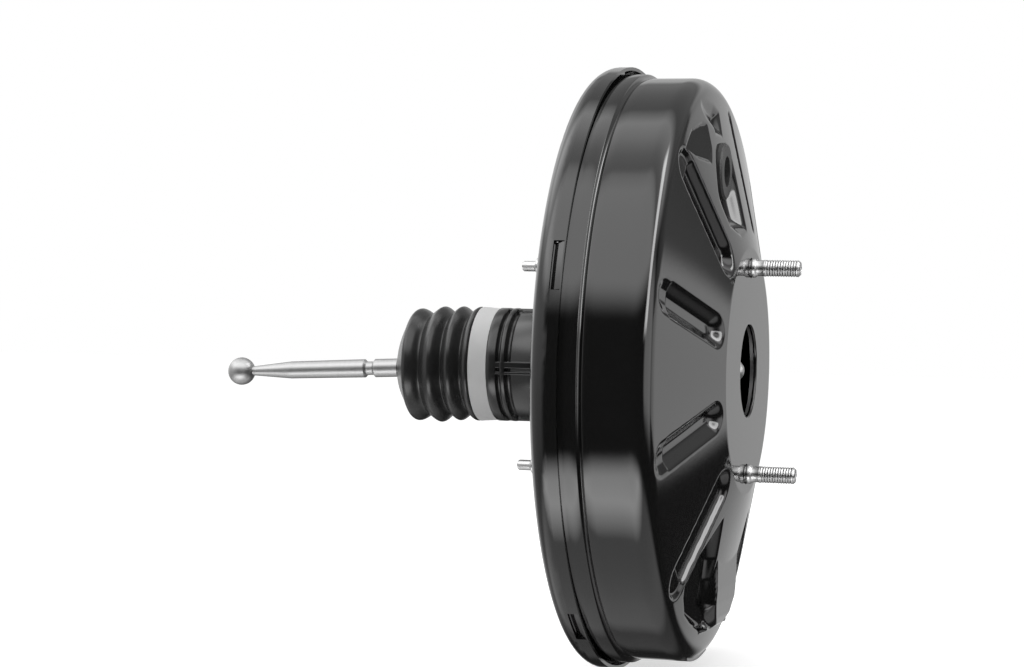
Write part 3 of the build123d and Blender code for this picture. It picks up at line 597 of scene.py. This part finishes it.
def buildFrontShell():
    outer = np.array(shellProfile())
    angles = shellAngles()
    count = len(angles)
    radius = np.repeat(outer[:, 1], count).reshape(-1, count)
    y, z = -radius * np.cos(angles), radius * np.sin(angles)
    x = np.repeat(outer[:, 0], count).reshape(-1, count)
    pressed = (radius > shell["pressedFrom"][0]) & (x > shell["pressedFrom"][1])
    x = np.where(pressed, pressedX(x, y, z), x)
    rings = list(np.stack([x, y, z], axis=2)) + innerRings(outer, x, angles)
    points = np.concatenate(rings)
    hole = np.hypot(points[:, 1] - port["y"], points[:, 2] - port["z"]) < port["holeRadius"]
    faces = ringFaces(len(rings), count, True)
    faces = [face for face in faces if not all(hole[corner] for corner in face)]
    piece = meshPiece("pressedFrontShell", points, faces, "black_coat")
    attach(piece, "casing")
    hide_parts("front_shell")
    return piece


frontShell = buildFrontShell()
print("front shell faces:", len(frontShell.data.polygons))

# Dust boot: folds between the clamping ring and the domed end on the rod
boot = {
    "ridge": [
        (-51.2, 27.6), (-52.4, 28.2), (-54.4, 27.0), (-55.7, 24.8), (-56.2, 24.3), (-57.0, 24.8),
        (-59.2, 27.1), (-61.4, 28.3), (-63.6, 27.1), (-65.3, 25.1), (-65.9, 24.6), (-66.6, 25.0),
        (-68.8, 27.5), (-71.1, 28.7), (-73.6, 27.5), (-76.3, 25.3), (-77.0, 24.9), (-77.8, 25.2),
        (-80.2, 27.0), (-82.8, 27.9), (-84.9, 26.9), (-86.6, 23.8),
    ],
    "sag": 1.1,
    "sagSpan": (-58.0, -80.0),
    "dome": [
        (-86.2, 24.2), (-88.2, 20.8), (-90.2, 16.9), (-91.9, 12.4), (-92.9, 8.8), (-93.3, 6.2),
        (-93.0, 5.2),
    ],
    "domeRadii": (24.0, 6.0),  # the dome's centre goes over to the rod's between these
    "domeBend": (-86.0, -92.5),  # stations between which the dome follows the rod
    "rodDroop": radians(2.73),
    "rodPivot": -30.0,
    "wall": 1.2,
    "sides": 180,
    "steps": 5,
    "anchorX": -50.7,
    "keep": 0.24,
}


# Smooth curve (Catmull-Rom) through (x, radius) points
def smoothCurve(points, steps):
    points = np.asarray(points, float)
    padded = np.vstack([2 * points[0] - points[1], points, 2 * points[-1] - points[-2]])
    curve = []
    for i in range(1, len(padded) - 2):
        a, b, c, d = padded[i - 1 : i + 3]
        square = 2 * a - 5 * b + 4 * c - d
        cube = 3 * b - a - 3 * c + d
        for t in np.arange(steps) / steps:
            curve.append(b + 0.5 * ((c - a) * t + square * t**2 + cube * t**3))
    curve.append(points[-1])
    return np.array(curve)


# Sheet of rubber: a smooth outline and the same outline moved inwards by the wall
def rubberSkin(outline, wall):
    along = np.gradient(outline, axis=0)
    along /= np.linalg.norm(along, axis=1)[:, None]
    inward = np.column_stack([-along[:, 1], along[:, 0]])
    inward *= np.where(inward[:, 1] > 0, -1, 1)[:, None]
    return np.vstack([outline, (outline + inward * wall)[::-1]])


# Height of the drooping rod's line
def rodRise(x):
    return tan(boot["rodDroop"]) * (x - boot["rodPivot"])


# Height of the folds' centre: the outer ones hang a little with the rod
def foldRise(x):
    first, last = boot["sagSpan"]
    return -boot["sag"] * smoothStep((x - first) / (last - first))


def buildBoot():
    skin = rubberSkin(smoothCurve(boot["ridge"], boot["steps"]), boot["wall"])
    folds = lathe("bootFolds", skin, boot["sides"], "boot_rubber", foldRise(skin[:, 0]))
    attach(folds, "casing")
    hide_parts("dust_boot")
    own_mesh(folds)
    skin = rubberSkin(smoothCurve(boot["dome"], boot["steps"]), boot["wall"])
    x, radius = skin.T
    outside, inside = boot["domeRadii"]
    towardsRod = smoothStep((outside - radius) / (outside - inside))
    rises = foldRise(x) * (1 - towardsRod) + rodRise(x) * towardsRod
    dome = lathe("bootEnd", skin, boot["sides"], "boot_rubber", rises)
    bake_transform(dome)


buildBoot()
print("boot built")

# Guide sleeve: two ring ribs behind the clamping ring, and four pairs of ribs along it
sleeve = {
    "radius": 26.8,
    "outer": [
        (-50.0, 24.3), (-41.8, 24.3), (-41.8, 27.5), (-41.3, 27.9), (-37.3, 27.9), (-36.9, 27.6),
        (-36.7, 26.9), (-36.5, 25.4), (-35.2, 25.4), (-35.0, 26.9), (-34.8, 27.5), (-34.3, 27.9),
        (-32.8, 27.9), (-32.4, 27.5), (-32.2, 26.8), (-32.0, 25.2), (-29.9, 25.2), (-29.7, 26.4),
        (-29.3, 26.8), (-3.2, 26.8), (-3.0, 26.8), (1.6, 26.8), (1.6, 33.0),
    ],
    "inner": [(4.4, 33.0), (4.4, 24.8), (-14.0, 24.8), (-14.0, 21.05), (-50.0, 21.05)],
    "sides": 720,
    "ribs": [(-0.2, 1.5), (-4.0, 0.7)],
    "ribRadius": 27.7,
    "ribEdge": 0.3,
    "ribSpan": (-41.0, -3.1),
}


def buildSleeve():
    angles = np.arange(sleeve["sides"]) * 2 * pi / sleeve["sides"]
    quarter = (angles + pi / 4) % (pi / 2) - pi / 4
    arc = sleeve["radius"] * np.sin(quarter)
    ribs = np.zeros(len(angles))
    for centre, half in sleeve["ribs"]:
        ribs = np.maximum(ribs, smoothStep((half - np.abs(arc - centre)) / sleeve["ribEdge"] + 0.5))
    low, high = sleeve["ribSpan"]
    rings = []
    for x, radius in sleeve["outer"]:
        height = max(sleeve["ribRadius"] - radius, 0) if low < x < high else 0
        rings.append(ringAt(x, radius + height * ribs, angles))
    rings += [ringAt(x, radius, angles) for x, radius in sleeve["inner"]]
    faces = ringFaces(len(rings), len(angles), True)
    piece = meshPiece("ribbedSleeve", np.concatenate(rings), faces, "sleeve_plastic")
    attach(piece, "casing")
    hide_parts("guide_sleeve")


buildSleeve()
print("sleeve built")

# Threaded studs: plain stretches as (x, radius) points, and a thread between two stations
thread = {"pitch": 1.25, "depth": 0.34, "flank": 1.25, "crest": 0.12, "sides": 48, "perTurn": 16}
frontStud = {
    "name": "masterCylinderStuds",
    "node": "master_cylinder_studs",
    "head": [
        (75.4, 8.0), (78.4, 8.0), (78.4, 4.95), (82.0, 4.95), (82.0, 4.0), (82.5, 4.5), (83.0, 4.6),
        (84.1, 4.6), (84.6, 4.3), (85.0, 3.9), (85.6, 3.8), (88.0, 3.8), (88.6, 4.0),
    ],
    "thread": (88.8, 105.0),
    "radius": 4.0,
    "tip": [(105.2, 3.7), (106.0, 3.1)],
    "rows": [(0, 0, 99.0)],
}
rearStud = {
    "name": "bulkheadStuds",
    "node": "bulkhead_studs",
    "head": [(6.6, 8.0), (3.6, 8.0), (3.6, 4.95), (0.0, 4.95), (-0.3, 4.0)],
    "thread": (-0.8, -14.7),
    "radius": 4.0,
    "tip": [(-15.5, 2.7), (-15.9, 2.5), (-21.2, 2.5), (-22.0, 1.9)],
    "rows": [(0, 0, 95.0), (0, 70.0, 0)],
}


# One stud on the axis
def studMesh(stud):
    sides, pitch = thread["sides"], thread["pitch"]
    angles = np.arange(sides) * 2 * pi / sides
    rings = [ringAt(x, radius, angles) for x, radius in stud["head"]]
    start, end = stud["thread"]
    length = abs(end - start)
    for place in np.linspace(0, 1, int(length / pitch * thread["perTurn"])):
        phase = (place * length / pitch - angles / (2 * pi)) % 1.0
        groove = np.clip(thread["flank"] * np.abs(2 * phase - 1) - thread["crest"], 0, 1)
        fade = np.clip(min(place, 1 - place) * length / pitch, 0, 1)
        radius = stud["radius"] - thread["depth"] * groove * fade
        rings.append(ringAt(start + (end - start) * place, radius, angles))
    rings += [ringAt(x, radius, angles) for x, radius in stud["tip"]]
    points = np.concatenate(rings)
    faces = ringFaces(len(rings), sides)
    faces.append(tuple(range(sides)))
    faces.append(tuple(reversed(range(len(points) - sides, len(points)))))
    return meshPiece(stud["name"], points, faces, "zinc")


# Geometry nodes tree that repeats a mesh along a row
def rowTree():
    tree = bpy.data.node_groups.new("row", "GeometryNodeTree")
    face = tree.interface
    face.new_socket("Geometry", in_out="INPUT", socket_type="NodeSocketGeometry")
    for name, kind in (
        ("Count", "NodeSocketInt"),
        ("Start", "NodeSocketVector"),
        ("Step", "NodeSocketVector"),
        ("Material", "NodeSocketMaterial"),
    ):
        face.new_socket(name, in_out="INPUT", socket_type=kind)
    face.new_socket("Geometry", in_out="OUTPUT", socket_type="NodeSocketGeometry")
    source, result = tree.nodes.new("NodeGroupInput"), tree.nodes.new("NodeGroupOutput")
    line = tree.nodes.new("GeometryNodeMeshLine")
    line.mode = "OFFSET"
    copies = tree.nodes.new("GeometryNodeInstanceOnPoints")
    real = tree.nodes.new("GeometryNodeRealizeInstances")
    paint = tree.nodes.new("GeometryNodeSetMaterial")
    for output, place in (
        (source.outputs["Count"], line.inputs["Count"]),
        (source.outputs["Start"], line.inputs["Start Location"]),
        (source.outputs["Step"], line.inputs["Offset"]),
        (line.outputs["Mesh"], copies.inputs["Points"]),
        (source.outputs["Geometry"], copies.inputs["Instance"]),
        (copies.outputs["Instances"], real.inputs["Geometry"]),
        (real.outputs["Geometry"], paint.inputs["Geometry"]),
        (source.outputs["Material"], paint.inputs["Material"]),
        (paint.outputs["Geometry"], result.inputs["Geometry"]),
    ):
        tree.links.new(output, place)
    return tree


rows = rowTree()


# Pair of a piece either side of where it is, a step apart, as a plain mesh
def pairUp(piece, step, material):
    modifier = piece.modifiers.new("row", "NODES")
    modifier.node_group = rows
    names = {item.name: item.identifier for item in rows.interface.items_tree if item.in_out == "INPUT"}
    modifier[names["Count"]] = 2
    modifier[names["Start"]] = [-value / 2 * mm for value in step]
    modifier[names["Step"]] = [value * mm for value in step]
    modifier[names["Material"]] = material
    graph = bpy.context.evaluated_depsgraph_get()
    made = bpy.data.meshes.new_from_object(piece.evaluated_get(graph))
    piece.modifiers.clear()
    piece.data = made


def buildStuds():
    for stud in (frontStud, rearStud):
        piece = studMesh(stud)
        for step in stud["rows"]:
            pairUp(piece, step, materials["zinc"])
        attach(piece, "casing")
        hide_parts(stud["node"])


buildStuds()
print("studs built")


# Coils from the CAD's own mesh, each parented to the body it moves with
springs = [
    {
        "name": "returnCoil",
        "node": "return_spring",
        "body": "casing",
        "joint": "assist_stroke",
        "stroke": 0.033,
    },
    {
        "name": "rodCoil",
        "node": "rod_spring",
        "body": "power_piston",
        "joint": "valve_stroke",
        "stroke": 0.002,
    },
]


def buildSprings():
    for spring in springs:
        source = frame["nodes"][spring["node"]]
        mesh = source.data.copy()
        mesh.transform(source.matrix_world)
        mesh.materials.clear()
        mesh.materials.append(materials[recordSlots[spring["node"]]])
        coil = addObject(spring["name"], mesh)
        low, high = (edge(point.co.x for point in mesh.vertices) for edge in (min, max))
        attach(coil, spring["body"])
        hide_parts(spring["node"])
        keep = 1 - spring["stroke"] / (high - low)
        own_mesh(coil)


buildSprings()
print("springs built")


# CAD parts keep their mesh and take the finish of their slot
def paintFrame():
    for name, part in frame["nodes"].items():
        part.data.materials.clear()
        part.data.materials.append(materials[recordSlots[name]])


paintFrame()

# Camera where the photograph was taken, with its roll
camera = {
    "azimuth": radians(15.674),
    "elevation": radians(-0.253),
    "roll": radians(1.432),
    "distance": 1.2,
    "focal": 2430.37,  # in pixels of a picture this wide
    "width": 1024,
    "sensor": 36.0,
    "clip": (0.05, 50.0),
    "target": (-0.036543, 0.0, 0.015298),
}


def buildCamera():
    azimuth, elevation, roll = camera["azimuth"], camera["elevation"], camera["roll"]
    back = Vector((sin(azimuth) * cos(elevation), -cos(azimuth) * cos(elevation), sin(elevation)))
    right = (-back).cross(Vector((0, 0, 1))).normalized()
    up = right.cross(-back)
    tiltedRight = right * cos(roll) + up * sin(roll)
    tiltedUp = up * cos(roll) - right * sin(roll)
    data = bpy.data.cameras.new("camera")
    data.sensor_width = camera["sensor"]
    data.lens = camera["focal"] / camera["width"] * camera["sensor"]
    data.clip_start, data.clip_end = camera["clip"]
    made = addObject("camera", data)
    turned = Matrix((tiltedRight, tiltedUp, back)).transposed().to_4x4()
    place = Vector(camera["target"]) + back * camera["distance"]
    made.matrix_world = Matrix.Translation(place) @ turned
    bpy.context.scene.camera = made


buildCamera()

# Studio: pale floor and white surroundings, with a soft light overhead and a dark side near the camera.
# Each pair is a stretch of the direction's x, y or z over which a light or dark place fades
studio = {
    "floorZ": -0.1462,
    "floorSize": 30.0,
    "floorColor": 0.8,
    "floorRough": 0.9,
    "floorGlow": 0.62,
    "plain": 0.55,
    "white": 1.0,
    "dark": 0.03,
    "overhead": 2.3,
    "overheadEdge": (0.3, 0.55),
    "overheadLevels": [
        (-1.0, 1.0), (-0.3, 1.0), (-0.2, 0.8), (-0.12, 0.42), (0.0, 0.48), (0.18, 0.7), (0.34, 0.76),
        (0.42, 0.45), (0.5, 0.18), (1.0, 0.16),
    ],
    "below": 4.0,
    "belowEdge": (0.5, 0.66),
    "belowLevels": [
        (-1.0, 0.8), (-0.75, 0.8), (-0.6, 0.97), (-0.5, 0.65), (-0.36, 0.17), (0.25, 0.18), (0.45, 0.15),
        (0.57, 0.05), (1.0, 0.02),
    ],
    "back": 0.6,
    "backEdge": (0.3, 0.5),
    "backTop": (0.38, 0.5),
    "backFoot": (0.2, 0.35),
    "backSide": 0.4,
    "backSideEdge": (0.45, 0.6),
    "gapTop": (0.095, 0.13),
    "gapFoot": (0.1, 0.138),
    "gapSide": (0.4, 0.45),
    "gapUpper": 0.78,
    "right": 1.6,
    "rightEdge": (0.9, 0.97),
    "rightFoot": (-0.3, -0.1),
    "rear": 0.32,
    "rearTop": 0.5,
    "rearEdge": (0.4, 0.7),
    "rearFade": (-0.6, 0.5),
    "strip": 7.0,
    "stripSlant": 0.9,
    "stripPlace": 0.49,
    "stripEdge": (0.07, 0.16),
    "stripSide": (0.5, 0.62),
    "stripFoot": (0.12, 0.22),
    "lamps": [
        {"name": "overhead", "place": (-0.2, 0.1, 1.6), "size": (1.6, 1.0), "power": 20.0},
        {"name": "side", "place": (-0.9, -1.5, 0.9), "size": (0.8, 0.8), "power": 8.0},
    ],
}


# Brightness of the studio by direction, as gloss and metal see it
def studioShade(tree):
    place = addNode(tree, "ShaderNodeTexCoord").outputs["Generated"]
    x, y, z = splitVector(tree, place)
    s = studio
    overhead = z.between(*s["overheadEdge"]) * y.levels(s["overheadLevels"]) * s["overhead"]
    below = (-z).between(*s["belowEdge"]) * y.levels(s["belowLevels"]) * s["below"]
    band = y.between(*s["backEdge"]) * (1 - z.between(*s["backTop"]))
    band = band * (1 - (-z).between(*s["backFoot"]))
    shade = z.between(*s["gapTop"]) * s["gapUpper"] + (-z).between(*s["gapFoot"])
    gap = 1 - shade * x.between(*s["gapSide"])
    back = band * gap * (s["back"] + x.between(*s["backSideEdge"]) * s["backSide"])
    right = x.between(*s["rightEdge"]) * z.between(*s["rightFoot"]) * s["right"]
    rear = (-x).between(*s["rearEdge"]) * (z.between(*s["rearFade"]) * s["rearTop"] + s["rear"])
    line = abs(y - z * s["stripSlant"] + s["stripPlace"])
    strip = (1 - line.between(*s["stripEdge"])) * x.between(*s["stripSide"]) * s["strip"]
    return overhead + below + back + right + rear + strip * z.between(*s["stripFoot"]) + s["dark"]


# Shader that is the second one for the rays that share picks out, and the first one otherwise
def mixShaders(tree, share, first, second):
    values = {"Fac": share, 1: first.outputs[0], 2: second.outputs[0]}
    return addNode(tree, "ShaderNodeMixShader", values=values)


def buildFloor():
    size = studio["floorSize"] / 2
    mesh = bpy.data.meshes.new("floor")
    corners = [(-size, -size), (size, -size), (size, size), (-size, size)]
    mesh.from_pydata([(x, y, studio["floorZ"]) for x, y in corners], [], [(0, 1, 2, 3)])
    paint = bpy.data.materials.new("paleFloor")
    paint.use_nodes = True
    tree = paint.node_tree
    shader = tree.nodes["Principled BSDF"]
    shader.inputs["Base Color"].default_value = (*grey(studio["floorColor"]), 1.0)
    shader.inputs["Roughness"].default_value = studio["floorRough"]
    shader.inputs["Specular IOR Level"].default_value = 0.0
    rays = addNode(tree, "ShaderNodeLightPath")
    glow = addNode(tree, "ShaderNodeEmission", values={"Strength": studio["floorGlow"]})
    seen = addNode(tree, "ShaderNodeAddShader", values={0: shader.outputs[0], 1: glow.outputs[0]})
    direct = mixShaders(tree, rays.outputs["Is Camera Ray"], shader, seen)
    clear = addNode(tree, "ShaderNodeBsdfTransparent")
    chosen = mixShaders(tree, rays.outputs["Is Glossy Ray"], direct, clear)
    plug(tree, tree.nodes["Material Output"].inputs["Surface"], chosen.outputs[0])
    mesh.materials.append(paint)
    addObject("floor", mesh)


def buildWorld():
    world = bpy.data.worlds.new("studio")
    world.use_nodes = True
    bpy.context.scene.world = world
    tree = world.node_tree
    rays = addNode(tree, "ShaderNodeLightPath")
    plain, white, room = (
        addNode(tree, "ShaderNodeBackground", values={"Color": (1, 1, 1, 1), "Strength": strength})
        for strength in (studio["plain"], studio["white"], studioShade(tree))
    )
    lit = mixShaders(tree, rays.outputs["Is Glossy Ray"], plain, room)
    chosen = mixShaders(tree, rays.outputs["Is Camera Ray"], lit, white)
    plug(tree, tree.nodes["World Output"].inputs["Surface"], chosen.outputs[0])


def buildLamps():
    for lamp in studio["lamps"]:
        data = bpy.data.lights.new(lamp["name"], "AREA")
        data.shape = "RECTANGLE"
        data.size, data.size_y = lamp["size"]
        data.energy = lamp["power"]
        data.specular_factor = 0.0  # the reflections come from the world
        made = addObject(lamp["name"], data)
        made.location = lamp["place"]
        made.rotation_euler = (-made.location).to_track_quat("-Z", "Y").to_euler()
        made.visible_glossy = False


buildFloor()
buildWorld()
buildLamps()
bpy.context.scene.view_settings.view_transform = "Standard"
print("studio built")
